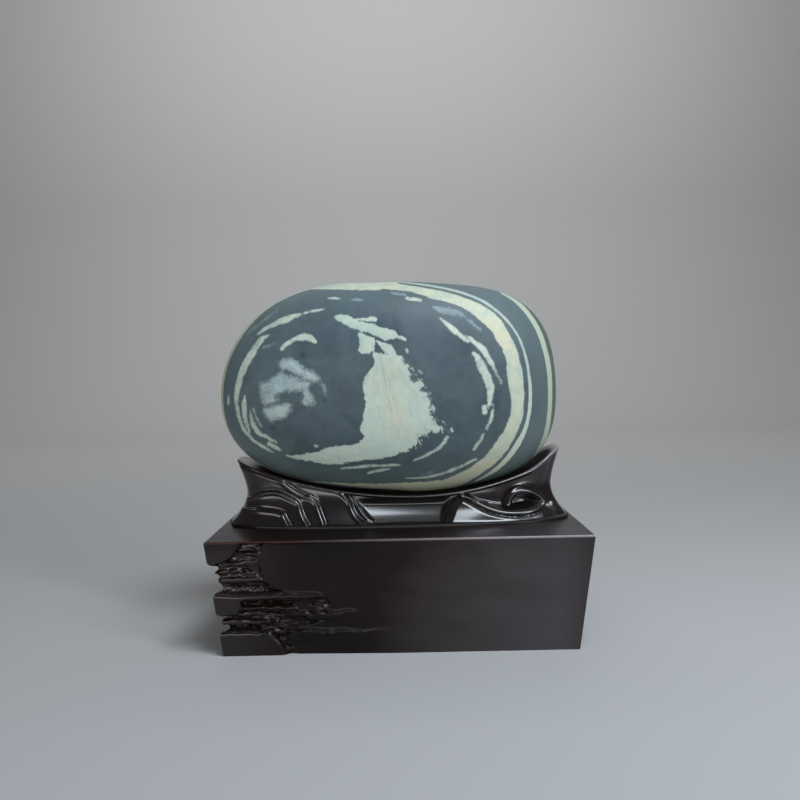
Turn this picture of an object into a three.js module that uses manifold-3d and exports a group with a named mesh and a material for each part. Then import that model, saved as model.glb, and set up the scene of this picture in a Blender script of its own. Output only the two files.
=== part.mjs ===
import * as THREE from "three";
import { mergeVertices } from "three/addons/utils/BufferGeometryUtils.js";
import Module from "manifold-3d";

// A flat river stone with pale, ink-like markings. It lies in a carved hardwood seat that stands on
// a tapered hardwood plinth, whose left corner is carved as layered cliffs.
// Millimetres, +Z up. The origin is on the floor, under the middle of the plinth. The marked face
// of the stone looks along -Y.

const stone = {
  centreX: -6.4,
  centreZ: 170.5,
  halfDepth: 49,
  profilePower: 2.4, // how full the stone is between its face and its rim
  faceHalfWidth: 120, // the plain oval that the outline settles to in the middle of the face
  faceHalfHeight: 76,
  // radius of the outline every 22.5 degrees, from the right end round over the top
  outlineRadii: [
    121.8, 119.6, 99.1, 80.9, 75.6, 81.6, 96.0, 111.9, 120.9, 115.9, 94.2, 79.6, 75.5, 83.0, 100.1,
    121.0,
  ],
  columns: 44,
  rings: 22,
};

const plinth = {
  halfWidth: 123.8,
  halfDepth: 80,
  height: 76,
  taper: 8.8, // how far each side leans in, from top to bottom
  edgeRound: 1, // the worn top edge
  cliffDepth: 6.5, // how far the cliffs are cut back behind the face
  groundDepth: 4.5, // and the sloping ground beside them, at the corner
  groundEdge: 2, // the ground starts this far under the top
  sideStretch: 1.4, // the left side carries the front's carving, drawn out along Y
};

const seat = {
  footHalfWidth: 121,
  footHalfDepth: 46,
  footHeight: 2,
  wallHalfDepth: 42, // just above the foot
  rimHalfDepth: 31.5,
  waistHalfWidth: 109.3,
  footFlare: 10.5, // how far the ends spread from the waist down to the foot
  hornFlare: 6.7, // and from the waist up to the horns
  planPower: 3.2, // how square the seat is, seen from above
  rimLowX: 12, // where the rim is lowest
  rimLowHeight: 19.2,
  rimRiseLeft: 0.00156, // the rim rises with the square of the distance from its lowest place
  rimRiseRight: 0.0024,
  hornLift: 4.5, // the right horn stands this much higher still
  hornStart: 92,
  hornEnd: 112,
  columns: 204,
  wallRows: 13,
  columnCrowding: 1.6, // more columns along the front and back than round the ends
  lipShare: 0.8, // the top is flat across inside this share of its width
};

const fit = {
  underStone: 0.4, // the stone's bottom stands this far clear of the seat
  besideStone: 2.2, // and its sides this far
};

const woodColour = new THREE.Color(0.035, 0.02, 0.018);
const stoneColour = new THREE.Color(0.12, 0.17, 0.19);

const { smoothstep, lerp } = THREE.MathUtils;

// Distance from a point to an open line.
function lineDistance(line, x, z) {
  let nearest = Infinity;
  for (let i = 0; i + 1 < line.length; i++) {
    const [ax, az] = line[i];
    const [bx, bz] = line[i + 1];
    const along = ((x - ax) * (bx - ax) + (z - az) * (bz - az)) / ((bx - ax) ** 2 + (bz - az) ** 2);
    const share = Math.min(1, Math.max(0, along));
    nearest = Math.min(nearest, Math.hypot(x - lerp(ax, bx, share), z - lerp(az, bz, share)));
  }
  return nearest;
}

// Distance from a point to a closed outline, positive inside it.
function insideDistance(outline, x, z) {
  let inside = false;
  for (let i = 0, j = outline.length - 1; i < outline.length; j = i++) {
    const [ax, az] = outline[i];
    const [bx, bz] = outline[j];
    if (az > z !== bz > z && x < ((bx - ax) * (z - az)) / (bz - az) + ax) inside = !inside;
  }
  const edge = lineDistance([...outline, outline[0]], x, z);
  return inside ? edge : -edge;
}

// A closed mesh made of rings of points, from one end point to the other.
function ringMesh(rings) {
  const count = rings[1].length;
  const points = [rings[0][0], ...rings.slice(1, -1).flat(), rings.at(-1)[0]];
  const last = points.length - 1;
  const at = (ring, column) => 1 + ring * count + (column % count);
  const faces = [];
  for (let j = 0; j < count; j++) {
    faces.push(0, at(0, j), at(0, j + 1));
    for (let i = 0; i + 1 < rings.length - 2; i++) {
      faces.push(at(i, j), at(i + 1, j), at(i + 1, j + 1));
      faces.push(at(i, j), at(i + 1, j + 1), at(i, j + 1));
    }
    faces.push(at(rings.length - 3, j), last, at(rings.length - 3, j + 1));
  }
  return geometryOf(points.flat(), faces);
}

function geometryOf(positions, faces) {
  const geometry = new THREE.BufferGeometry();
  geometry.setAttribute("position", new THREE.Float32BufferAttribute(positions, 3));
  geometry.setIndex(faces);
  geometry.computeVertexNormals();
  return geometry;
}

// The outline's radius at any angle: the smoothest wave through the measured radii.
function outlineRadius(angle) {
  const radii = stone.outlineRadii;
  const step = (2 * Math.PI) / radii.length;
  return radii.reduce((sum, radius, i) => {
    const away = angle - i * step;
    if (Math.abs(Math.sin(away / 2)) < 1e-9) return sum + radius;
    return sum + (radius * Math.sin((radii.length * away) / 2)) / (radii.length * Math.tan(away / 2));
  }, 0);
}

// The stone: from the middle of its front face, rings spread out to the rim and close again at the
// back. Its outline is exact at the rim and settles to a plain oval in the middle of each face.
function stoneGeometry(grow = 0, lift = 0) {
  const rings = [];
  for (let i = 0; i <= stone.rings; i++) {
    const turn = (Math.PI * i) / stone.rings;
    const power = stone.profilePower;
    const size = (Math.sin(turn) ** power + Math.abs(Math.cos(turn)) ** power) ** (-1 / power);
    const across = Math.sin(turn) * size;
    const ring = [];
    for (let j = 0; j < stone.columns; j++) {
      const angle = (2 * Math.PI * j) / stone.columns;
      const oval =
        1 / Math.hypot(Math.cos(angle) / stone.faceHalfWidth, Math.sin(angle) / stone.faceHalfHeight);
      const radius = (lerp(oval, outlineRadius(angle), across ** 3) + grow) * across;
      ring.push([
        stone.centreX + radius * Math.cos(angle),
        -(stone.halfDepth + grow) * Math.cos(turn) * size,
        stone.centreZ + lift + radius * Math.sin(angle),
      ]);
    }
    rings.push(ring);
  }
  return ringMesh(rings);
}

// Carving of the seat's face, in X and in height above the plinth. Each terrace is a sheet of rock
// that overlaps the next one to its right.
const terraces = [
  { // the horn's sheet, whose edge runs down from the rim
    rise: 1.5,
    outline: [
      [-130, -5], [-130, 60], [-98, 50], [-87.5, 38.5], [-79.8, 30.8], [-72.8, 25.2], [-66.1, 21.6],
      [-59.3, 20.1], [-56, 16], [-54.1, 10.8], [-50.2, 2.7], [-49, -5],
    ],
  },
  { // the hill under it
    rise: 1.5,
    outline: [
      [-130, -5], [-130, 12], [-103.7, 18.9], [-94, 23.8], [-83.4, 24.7], [-75, 20.8], [-67.9, 17.2],
      [-66.4, 11], [-63.8, 5.7], [-61.1, 2.9], [-59, -5],
    ],
  },
  { // the low step in front of the hill
    rise: 1.6,
    outline: [[-130, -5], [-130, 12.6], [-97.8, 12.6], [-78.7, 11.3], [-76.1, 6], [-72.1, 0.4], [-71, -5]],
  },
  { // the wide sheet that ends at the pool
    rise: 1.8,
    outline: [
      [-130, -5], [-130, 60], [-60, 40], [-44, 26], [-38.1, 22.7], [-33.1, 15.6], [-30.9, 9.4],
      [-26.2, 4.3], [-22.2, 2.1], [-20, -5],
    ],
  },
];
const leaf = {
  rise: 3.4,
  outline: [
    [30.9, -3], [32.6, 8.6], [35.5, 14.2], [39.9, 17.6], [45.8, 18.3], [52.9, 14.7], [61.4, 11],
    [74.3, 8.5], [87.6, 8.3], [96.2, 9.5], [103, 12], [109, 8], [112, -3],
  ],
};
const loop = {
  radius: 3,
  height: 3,
  line: [
    [45.8, 16.5], [52.9, 12.6], [61.3, 9.2], [74.3, 6.9], [87.6, 6.6], [96.2, 8.4], [100.8, 11],
    [99, 15.5], [94.8, 19.1], [87.8, 21.4], [80.7, 22], [76.5, 19.5], [74.7, 16], [74.7, 12.5],
  ],
};
const eye = {
  depth: 4.5,
  outline: [
    [76, 10.5], [76, 16.5], [79.5, 20], [83, 20.4], [87.5, 19.6], [93, 17.4], [97.5, 14], [98.5, 11.2],
    [95.5, 9.8], [87, 9],
  ],
};
const pool = {
  depth: 3,
  outline: [
    [-33, 19], [-28.7, 12], [-22.8, 4.9], [-14, 2.4], [29, 2.4], [31.5, 8.6], [34.5, 14.2], [36, 17],
    [20, 17.6], [0, 17.8], [-20, 18.4],
  ],
};

function seatCarving(x, height) {
  let out = -2;
  for (const { rise, outline } of terraces) {
    out += rise * smoothstep(insideDistance(outline, x, height), -1.4, 1.4);
  }
  out += leaf.rise * smoothstep(insideDistance(leaf.outline, x, height), -1, 3);
  out -= pool.depth * smoothstep(insideDistance(pool.outline, x, height), 0, 8);
  out -= eye.depth * smoothstep(insideDistance(eye.outline, x, height), -1, 2.6);
  const beside = lineDistance(loop.line, x, height) / loop.radius;
  return Math.max(out, loop.height - 0.8 * loop.radius * beside ** 2);
}

function rimHeight(x) {
  const away = x - seat.rimLowX;
  const bow = (away < 0 ? seat.rimRiseLeft : seat.rimRiseRight) * away ** 2;
  return seat.rimLowHeight + bow + seat.hornLift * smoothstep(x, seat.hornStart, seat.hornEnd);
}

// One point of the seat's plan: a squared-off oval, with the way it faces.
function seatPlan(turn, halfWidth, halfDepth) {
  const power = seat.planPower;
  const across = Math.cos(turn);
  const back = Math.sin(turn);
  const size = (Math.abs(across) ** power + Math.abs(back) ** power) ** (-1 / power);
  const x = across * size;
  const y = back * size;
  const facing = new THREE.Vector2(
    (Math.sign(x) * Math.abs(x) ** (power - 1)) / halfWidth,
    (Math.sign(y) * Math.abs(y) ** (power - 1)) / halfDepth,
  ).normalize();
  return { x: x * halfWidth, y: y * halfDepth, facing };
}

// The seat before the stone is let into it: its saddle-shaped top, the carved wall and the foot.
function seatBlank() {
  const turns = Array.from({ length: seat.columns }, (_, j) => {
    const even = (2 * Math.PI * j) / seat.columns;
    return Math.atan2(seat.columnCrowding * Math.sin(even), Math.cos(even));
  });
  const ringAt = (place) => turns.map(place);
  const wallPoint = (share) => (turn) => {
    const low = Math.max(0, 1 - share / 0.5) ** 2;
    const high = Math.max(0, (share - 0.5) / 0.5) ** 1.6;
    const halfWidth = seat.waistHalfWidth + seat.footFlare * low + seat.hornFlare * high;
    const halfDepth = lerp(seat.rimHalfDepth, seat.wallHalfDepth, (1 - share) ** 1.7);
    const { x, y, facing } = seatPlan(turn, halfWidth, halfDepth);
    const height = lerp(seat.footHeight, rimHeight(x), share);
    // the carving runs round the back turned by half a turn, and dies out at the ends and the rim
    const seen = smoothstep(Math.abs(facing.y), 0.3, 0.75) * (1 - smoothstep(share, 0.86, 1));
    const out = seatCarving(y < 0 ? x : -x, height) * seen;
    return [x + out * facing.x, y + out * facing.y, plinth.height + height];
  };
  const footPoint = (height) => (turn) => {
    const { x, y } = seatPlan(turn, seat.footHalfWidth, seat.footHalfDepth);
    return [x, y, plinth.height + height];
  };
  const lipPoint = (turn) => {
    const [x, y] = wallPoint(1)(turn).map((value) => value * seat.lipShare);
    return [x, y, plinth.height + rimHeight(x)];
  };
  const levels = Array.from({ length: seat.wallRows + 1 }, (_, i) => 1 - i / seat.wallRows);
  return ringMesh([
    [[0, 0, plinth.height + rimHeight(0)]],
    ringAt(lipPoint),
    ...levels.map((share) => ringAt(wallPoint(share))),
    ringAt(footPoint(seat.footHeight)),
    ringAt(footPoint(0)),
    [[0, 0, plinth.height]],
  ]);
}

const wasm = await Module();
wasm.setup();

function solidOf(geometry) {
  return new wasm.Manifold(
    new wasm.Mesh({
      numProp: 3,
      vertProperties: geometry.getAttribute("position").array,
      triVerts: Uint32Array.from(geometry.getIndex().array),
    }),
  );
}

function geometryOfSolid(solid) {
  const { vertProperties, triVerts } = solid.getMesh();
  return geometryOf(vertProperties, Array.from(triVerts));
}

const joined = (solids) => solids.reduce((sum, solid) => sum.add(solid));

// The stone's own shape, a little larger, is taken out of the seat's top.
function seatGeometry() {
  const hollow = stoneGeometry(fit.besideStone, fit.besideStone - fit.underStone);
  return geometryOfSolid(solidOf(seatBlank()).subtract(solidOf(hollow)));
}

// Carving of the plinth, in X and Z on its front face. The cliffs are cut back, and in them the
// slabs stay level with the face while the ledges stand a little behind it.
const cliffs = [
  [-97, 90], [-85, 90], [-88.7, 60.7], [-87, 51.1], [-84, 44.6], [-60, 43], [-46, 38], [-42, 29],
  [-46, 22], [-60, 18], [-68, 10], [-64, -9], [-140, -9], [-140, 72],
];
const slabs = [
  [[-140, 90], [-140, 59.7], [-112.1, 59.6], [-100.5, 73.1], [-97, 77], [-97, 90]],
  [
    [-140, 42.4], [-117, 42.7], [-101.9, 41], [-82.8, 42], [-63.8, 41.6], [-50.5, 41.7],
    [-48.1, 36.8], [-64, 36.2], [-83, 36], [-103, 36.4], [-101.5, 33.4], [-104, 27.5], [-110, 26],
    [-140, 26],
  ],
  [[-140, 16.6], [-110.8, 16.9], [-84.8, 16.4], [-76.1, 7.2], [-71, -9], [-140, -9]],
];
const ledges = [
  { behind: 3.6, outline: [[-106, 68.6], [-88, 68], [-88, 66], [-108, 66.4]] },
  { behind: 4.2, outline: [[-113, 61.8], [-89, 62.6], [-90, 60], [-112, 59]] },
  { behind: 3.4, outline: [[-140, 56.4], [-99, 57], [-98, 54.2], [-140, 54]] },
  { behind: 4.2, outline: [[-140, 50.6], [-88, 51.6], [-87, 48.4], [-140, 48]] },
  { behind: 2.4, outline: [[-104, 32.8], [-67, 32.4], [-66, 29.4], [-104, 30]] },
  { behind: 2.4, outline: [[-140, 23.8], [-79, 23.6], [-78, 20.4], [-140, 20.8]] },
  {
    behind: 0.6,
    outline: [
      [-61.2, 28.3], [-57.2, 26.9], [-49.9, 28.1], [-42, 26.6], [-32.1, 27.7], [-38, 24], [-60, 23.4],
    ],
  },
  {
    behind: 0.6,
    outline: [
      [-76, 14.2], [-58.1, 15.5], [-49.9, 13.7], [-35.9, 14.7], [-18.8, 12.4], [-30, 10.6],
      [-60, 10.4], [-72, 9.6],
    ],
  },
];
const groundEnd = -28; // the ground comes level with the face here

const leanSlope = -plinth.taper / plinth.height;

// Extrudes an outline drawn in X and Z into the front face, from one depth behind it to another.
// The faces lean, and so do the depths.
function intoFront(outline, from, to) {
  const shape = new THREE.Shape(outline.map(([x, z]) => new THREE.Vector2(x, z)));
  const geometry = new THREE.ExtrudeGeometry(shape, { depth: to - from, bevelEnabled: false });
  const deepest = -plinth.halfDepth + plinth.taper + to;
  return placed(geometry, [1, 0, 0, 0, 0, leanSlope, -1, deepest, 0, 1, 0, 0, 0, 0, 0, 1]);
}

// The same outline in the left side, mirrored at the corner and drawn out.
function intoLeft(outline, from, to) {
  const shape = new THREE.Shape(outline.map(([x, z]) => new THREE.Vector2(x, z)));
  const geometry = new THREE.ExtrudeGeometry(shape, { depth: to - from, bevelEnabled: false });
  const nearest = -plinth.halfWidth + plinth.taper + from;
  const stretch = plinth.sideStretch;
  const shift = plinth.halfWidth * stretch - plinth.halfDepth;
  return placed(geometry, [0, leanSlope, 1, nearest, stretch, 0, 0, shift, 0, 1, 0, 0, 0, 0, 0, 1]);
}

// Moves an extrusion to its place and makes it one solid.
function placed(geometry, matrix) {
  geometry.deleteAttribute("normal");
  geometry.deleteAttribute("uv");
  const moved = mergeVertices(geometry.applyMatrix4(new THREE.Matrix4().set(...matrix)));
  return solidOf(moved);
}

// What is carved away from one side.
function carvedFrom(into) {
  const outside = -9;
  const through = 30;
  const { groundDepth, groundEdge, height, halfWidth, cliffDepth } = plinth;
  // the ground slopes in steps no deeper than the grain, down to the corner
  const steps = 9;
  const ground = Array.from({ length: steps }, (_, i) => {
    const end = lerp(groundEnd, -halfWidth, i / steps);
    const level = height - groundEdge;
    const outline = [[end, level], [-140, level], [-140, -9], [end, -9]];
    return into(outline.reverse(), outside, (groundDepth * (i + 1)) / steps);
  });
  const kept = [
    ...slabs.map((outline) => into(outline, outside - 5, through)),
    ...ledges.map(({ behind, outline }) => into(outline, behind, through)),
  ];
  return joined([into(cliffs, outside, cliffDepth), ...ground]).subtract(joined(kept));
}

function plinthGeometry() {
  const { halfWidth, halfDepth, height, taper, edgeRound } = plinth;
  const corners = [[1, -1], [1, 1], [-1, 1], [-1, -1]];
  const level = (z, inset) =>
    corners.map(([x, y]) => [x * (halfWidth - inset), y * (halfDepth - inset), z]);
  const block = ringMesh([
    [[0, 0, height]],
    level(height, edgeRound),
    level(height - edgeRound, (taper * edgeRound) / height),
    level(0, taper),
    [[0, 0, 0]],
  ]);
  const carved = joined([carvedFrom(intoFront), carvedFrom(intoLeft)]);
  return geometryOfSolid(solidOf(block).subtract(carved));
}

function meshOf(name, geometry, colour, roughness) {
  const material = new THREE.MeshStandardMaterial({ color: colour, roughness, metalness: 0 });
  const mesh = new THREE.Mesh(geometry, material);
  mesh.name = name;
  return mesh;
}

const model = new THREE.Group();
model.add(
  meshOf("plinth", plinthGeometry(), woodColour, 0.25),
  meshOf("seat", seatGeometry(), woodColour, 0.22),
  meshOf("stone", stoneGeometry(), stoneColour, 0.5),
);

export default model;
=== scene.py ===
import math

import bpy
import numpy as np
from mathutils import Matrix, Vector


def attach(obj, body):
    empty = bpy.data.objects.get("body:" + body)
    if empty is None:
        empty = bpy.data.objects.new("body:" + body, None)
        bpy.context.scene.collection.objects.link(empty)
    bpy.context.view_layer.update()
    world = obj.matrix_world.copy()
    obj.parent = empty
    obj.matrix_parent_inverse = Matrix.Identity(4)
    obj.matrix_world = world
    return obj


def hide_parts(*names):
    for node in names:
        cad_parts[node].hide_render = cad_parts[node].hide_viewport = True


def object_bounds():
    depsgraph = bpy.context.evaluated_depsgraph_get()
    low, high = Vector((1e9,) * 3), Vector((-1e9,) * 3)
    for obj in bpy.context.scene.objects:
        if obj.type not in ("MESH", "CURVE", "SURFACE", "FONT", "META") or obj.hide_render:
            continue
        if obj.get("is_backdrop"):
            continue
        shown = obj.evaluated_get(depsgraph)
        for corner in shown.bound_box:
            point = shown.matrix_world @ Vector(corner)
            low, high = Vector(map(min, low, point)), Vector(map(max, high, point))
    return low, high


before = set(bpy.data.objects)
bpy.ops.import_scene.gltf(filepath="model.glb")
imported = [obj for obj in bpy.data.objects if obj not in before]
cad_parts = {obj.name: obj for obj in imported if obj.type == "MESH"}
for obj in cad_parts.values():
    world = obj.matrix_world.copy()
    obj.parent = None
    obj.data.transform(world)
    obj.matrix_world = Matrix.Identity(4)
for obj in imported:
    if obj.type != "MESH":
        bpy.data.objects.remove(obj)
cadBox = [list(corner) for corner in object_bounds()]

# Lengths are written in millimetres and brought to metres as a mesh is made.
# X runs right, Y away from the viewer and Z up, from the middle of the plinth's underside.
mm = 0.001

view = {
    "frameSize": 800,  # picture points each way
    "sensor": 36.0,
    "lens": 36.0,
    "place": (2.1, -580.0, 183.5),
    "pitch": 2.29,  # degrees down
    "roll": 1.17,  # degrees clockwise
}


def cameraAxes():
    # right, up and forward directions: pitched down about X, then rolled about the line of sight
    pitch, roll = math.radians(view["pitch"]), math.radians(view["roll"])
    forward = np.array([0.0, math.cos(pitch), -math.sin(pitch)])
    level = np.array([1.0, 0.0, 0.0])
    upright = np.cross(level, forward)
    right = math.cos(roll) * level - math.sin(roll) * upright
    up = math.sin(roll) * level + math.cos(roll) * upright
    return right, up, forward


def pictureOf(points):
    # where points fall in the picture: offsets across the line of sight, divided by the depth
    right, up, forward = cameraAxes()
    away = points - np.array(view["place"])
    scale = view["frameSize"] * view["lens"] / view["sensor"] / (away @ forward)
    half = view["frameSize"] / 2
    return np.stack([half + scale * (away @ right), half - scale * (away @ up)], axis=-1)


def makeCamera():
    right, up, forward = cameraAxes()
    data = bpy.data.cameras.new("camera")
    data.sensor_width = view["sensor"]
    data.lens = view["lens"]
    data.clip_start = 0.01
    camera = bpy.data.objects.new("camera", data)
    turn = Matrix([right, up, -forward]).transposed().to_4x4()
    camera.matrix_world = Matrix.Translation(Vector(view["place"]) * mm) @ turn
    bpy.context.scene.collection.objects.link(camera)
    bpy.context.scene.camera = camera


def smoothStep(value, low, high):
    # 0 below low, 1 above high, and between them 3 s^2 - 2 s^3 of the share s
    share = np.clip((value - low) / (high - low), 0, 1)
    return share * share * (3 - 2 * share)


def mixed(low, high, share):
    # the value that lies this share of the way from low to high
    return low + (high - low) * share


def bump(value, width):
    # a bell-shaped hump, 1 in its middle
    return np.exp(-((value / width) ** 2))


def grainNoise(x, y, seed, size=128):
    # value noise from -1 to 1: random numbers on a square lattice, joined by smooth steps
    table = np.random.default_rng(seed).random((size, size)) * 2 - 1
    column, row = np.floor(x).astype(int), np.floor(y).astype(int)
    across, along = smoothStep(x - column, 0, 1), smoothStep(y - row, 0, 1)
    corner = lambda i, j: table[(column + i) % size, (row + j) % size]
    lower = mixed(corner(0, 0), corner(1, 0), across)
    upper = mixed(corner(0, 1), corner(1, 1), across)
    return mixed(lower, upper, along)


def rounded(line, closed=False, times=2):
    # corner cutting: every piece of the line keeps only its middle half, and the gaps are joined
    line = np.asarray(line, float)
    for _ in range(times):
        start = line if closed else line[:-1]
        end = np.roll(line, -1, axis=0) if closed else line[1:]
        cut = np.stack([0.75 * start + 0.25 * end, 0.25 * start + 0.75 * end], axis=1)
        cut = cut.reshape(-1, line.shape[1])
        line = cut if closed else np.concatenate([line[:1], cut, line[-1:]])
    return line


def evened(line, count):
    # the same line with count points, equally far apart
    line = np.asarray(line, float)
    along = np.concatenate([[0], np.cumsum(np.linalg.norm(np.diff(line, axis=0), axis=1))])
    places = np.linspace(0, along[-1], count)
    return np.stack([np.interp(places, along, column) for column in line.T], axis=1)


def smoothed(line, times=2):
    # each inner point moves to the mean of itself and its neighbours
    for _ in range(times):
        inner = (line[:-2] + 2 * line[1:-1] + line[2:]) / 4
        line = np.concatenate([line[:1], inner, line[-1:]])
    return line


def lineDistance(points, line):
    # distance from points to an open line, and how far along the line the nearest place is
    line = np.asarray(line, float)
    nearest = np.full(points.shape[:-1], np.inf)
    place = np.zeros(points.shape[:-1])
    for number, (start, end) in enumerate(zip(line[:-1], line[1:])):
        piece = end - start
        share = np.clip((points - start) @ piece / max(piece @ piece, 1e-9), 0, 1)
        away = np.linalg.norm(points - start - share[..., None] * piece, axis=-1)
        place = np.where(away < nearest, number + share, place)
        nearest = np.minimum(nearest, away)
    return nearest, place


def insideDistance(points, outline):
    # distance to a closed outline, positive inside: the sign comes from counting crossings
    outline = np.asarray(outline, float)
    x, z = points[..., 0], points[..., 1]
    inside = np.zeros(x.shape, bool)
    for (ax, az), (bx, bz) in zip(outline, np.roll(outline, -1, axis=0)):
        if az == bz:
            continue
        crosses = (az > z) != (bz > z)
        inside ^= crosses & (x < (bx - ax) * (z - az) / (bz - az) + ax)
    edge, _ = lineDistance(points, np.concatenate([outline, outline[:1]]))
    return np.where(inside, edge, -edge)


def ringMesh(name, rings, attributes):
    # a closed surface from rings of points: the first and the last ring are drawn to one point
    count, columns = rings.shape[:2]
    points = np.concatenate([rings[0, :1], rings[1:-1].reshape(-1, 3), rings[-1, :1]])
    here = np.arange(columns)
    beside = (here + 1) % columns
    row = 1 + columns * np.arange(count - 2)[:, None]
    quads = np.stack(
        [row[:-1] + here, row[1:] + here, row[1:] + beside, row[:-1] + beside], axis=-1
    ).reshape(-1, 4)
    last = len(points) - 1
    fans = np.concatenate([
        np.stack([np.zeros_like(here), 1 + here, 1 + beside], axis=-1),
        np.stack([row[-1] + here, np.full_like(here, last), row[-1] + beside], axis=-1),
    ])
    corners = np.concatenate([quads.ravel(), fans.ravel()])
    starts = np.concatenate([4 * np.arange(len(quads)), 4 * len(quads) + 3 * np.arange(len(fans))])
    mesh = bpy.data.meshes.new(name)
    mesh.vertices.add(len(points))
    mesh.vertices.foreach_set("co", (points * mm).ravel())
    mesh.loops.add(len(corners))
    mesh.loops.foreach_set("vertex_index", corners)
    mesh.polygons.add(len(starts))
    mesh.polygons.foreach_set("loop_start", starts)
    mesh.update(calc_edges=True)
    mesh.validate()
    for key, value in attributes.items():
        flat = np.concatenate([value[0, :1], value[1:-1].ravel(), value[-1, :1]])
        layer = mesh.attributes.new(key, "FLOAT", "POINT")
        layer.data.foreach_set("value", flat.astype(np.float32))
    piece = bpy.data.objects.new(name, mesh)
    bpy.context.scene.collection.objects.link(piece)
    return piece


class Field:
    # a shader socket that can be written in sums: every operation adds one Math node
    def __init__(self, tree, socket):
        self.tree = tree
        self.socket = socket

    def math(self, operation, *values):
        node = self.tree.nodes.new("ShaderNodeMath")
        node.operation = operation
        for slot, value in zip(node.inputs, values):
            connect(self.tree, slot, value)
        return Field(self.tree, node.outputs[0])

    def __add__(self, other):
        return self.math("ADD", self, other)

    def __radd__(self, other):
        return self.math("ADD", other, self)

    def __sub__(self, other):
        return self.math("SUBTRACT", self, other)

    def __rsub__(self, other):
        return self.math("SUBTRACT", other, self)

    def __mul__(self, other):
        return self.math("MULTIPLY", self, other)

    def __rmul__(self, other):
        return self.math("MULTIPLY", other, self)

    def between(self, low, high):
        # 0 below low, 1 above high, and a smooth step between them
        node = self.tree.nodes.new("ShaderNodeMapRange")
        node.interpolation_type = "SMOOTHSTEP"
        connect(self.tree, node.inputs["Value"], self)
        node.inputs["From Min"].default_value = low
        node.inputs["From Max"].default_value = high
        return Field(self.tree, node.outputs["Result"])

    def larger(self, other):
        return self.math("MAXIMUM", self, other)

    def clamped(self):
        return self.math("MINIMUM", self.larger(0.0), 1.0)

    def size(self):
        return self.math("ABSOLUTE", self)


def connect(tree, slot, value):
    if isinstance(value, Field):
        tree.links.new(value.socket, slot)
    elif slot.type == "RGBA" and len(value) == 3:
        slot.default_value = (*value, 1.0)
    else:
        slot.default_value = value


class Finish:
    # one material, and the ways to add nodes to it
    def __init__(self, name, **constants):
        self.material = bpy.data.materials.new(name)
        self.material.use_nodes = True
        self.tree = self.material.node_tree
        self.shader = self.tree.nodes["Principled BSDF"]
        for socket, value in constants.items():
            self.shader.inputs[socket.replace("_", " ")].default_value = value

    def node(self, kind, settings=None, inputs=None, output=0):
        node = self.tree.nodes.new(kind)
        for key, value in (settings or {}).items():
            setattr(node, key, value)
        for key, value in (inputs or {}).items():
            connect(self.tree, node.inputs[key], value)
        return Field(self.tree, node.outputs[output])

    def attribute(self, name):
        return self.node("ShaderNodeAttribute", {"attribute_name": name}, output="Fac")

    def place(self, stretch=(1, 1, 1)):
        # the piece's own coordinates in metres, stretched
        where = self.node("ShaderNodeTexCoord", output="Object")
        return self.node("ShaderNodeMapping", {}, {"Vector": where, "Scale": stretch}, "Vector")

    def noise(self, place, scale, detail, roughness, warp=0.0):
        # noise from about -0.5 to 0.5
        inputs = {"Vector": place, "Scale": scale, "Detail": detail}
        inputs.update({"Roughness": roughness, "Distortion": warp})
        return self.node("ShaderNodeTexNoise", {}, inputs, "Fac") - 0.5

    def mix(self, share, first, second):
        # sockets 0, 6 and 7 are the share and the two colours, and output 2 is the mixed colour
        inputs = {0: share, 6: first, 7: second}
        return self.node("ShaderNodeMix", {"data_type": "RGBA"}, inputs, 2)

    def parts(self, vector):
        first = self.node("ShaderNodeSeparateXYZ", {}, {"Vector": vector})
        return [Field(self.tree, socket) for socket in first.socket.node.outputs]

    def combine(self, x, y, z):
        return self.node("ShaderNodeCombineXYZ", {}, {"X": x, "Y": y, "Z": z}, "Vector")

    def feed(self, socket, value):
        connect(self.tree, self.shader.inputs[socket], value)

    def relief(self, height, distance, strength):
        inputs = {"Height": height, "Distance": distance, "Strength": strength}
        self.feed("Normal", self.node("ShaderNodeBump", {}, inputs, "Normal"))


makeCamera()
print("camera placed")

# The stone, in millimetres: first its body, then the markings on it.
stone = {
    "centre": (-6.4, 170.5),
    "halfDepth": 49.0,
    "profilePower": 2.4,  # how full it is between face and rim
    "faceHalfWidth": 120.0,
    "faceHalfHeight": 76.0,
    # radius of the outline every 22.5 degrees, from the right end round over the top
    "outlineRadii": (
        121.8, 119.6, 99.1, 80.9, 75.6, 81.6, 96.0, 111.9, 120.9, 115.9, 94.2, 79.6, 75.5, 83.0,
        100.1, 121.0,
    ),
    "columns": 512,
    "frontRings": 148,
    "backRings": 42,
    "shine": 0.32,
    "inset": -1.0,  # the polished surface lies this far inside the outline
}


def outlineRadius(angle):
    # the smoothest wave through the measured radii
    radii = stone["outlineRadii"]
    count = len(radii)
    total = np.zeros_like(angle)
    for number, radius in enumerate(radii):
        away = angle - number * 2 * math.pi / count
        away = np.where(np.abs(np.sin(away / 2)) < 1e-7, 1e-6, away)
        total += radius * np.sin(count * away / 2) / (count * np.tan(away / 2))
    return total


def ovalRadius(angle):
    # radius of the face's plain oval
    across, up = stone["faceHalfWidth"], stone["faceHalfHeight"]
    return 1 / np.hypot(np.cos(angle) / across, np.sin(angle) / up)


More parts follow.
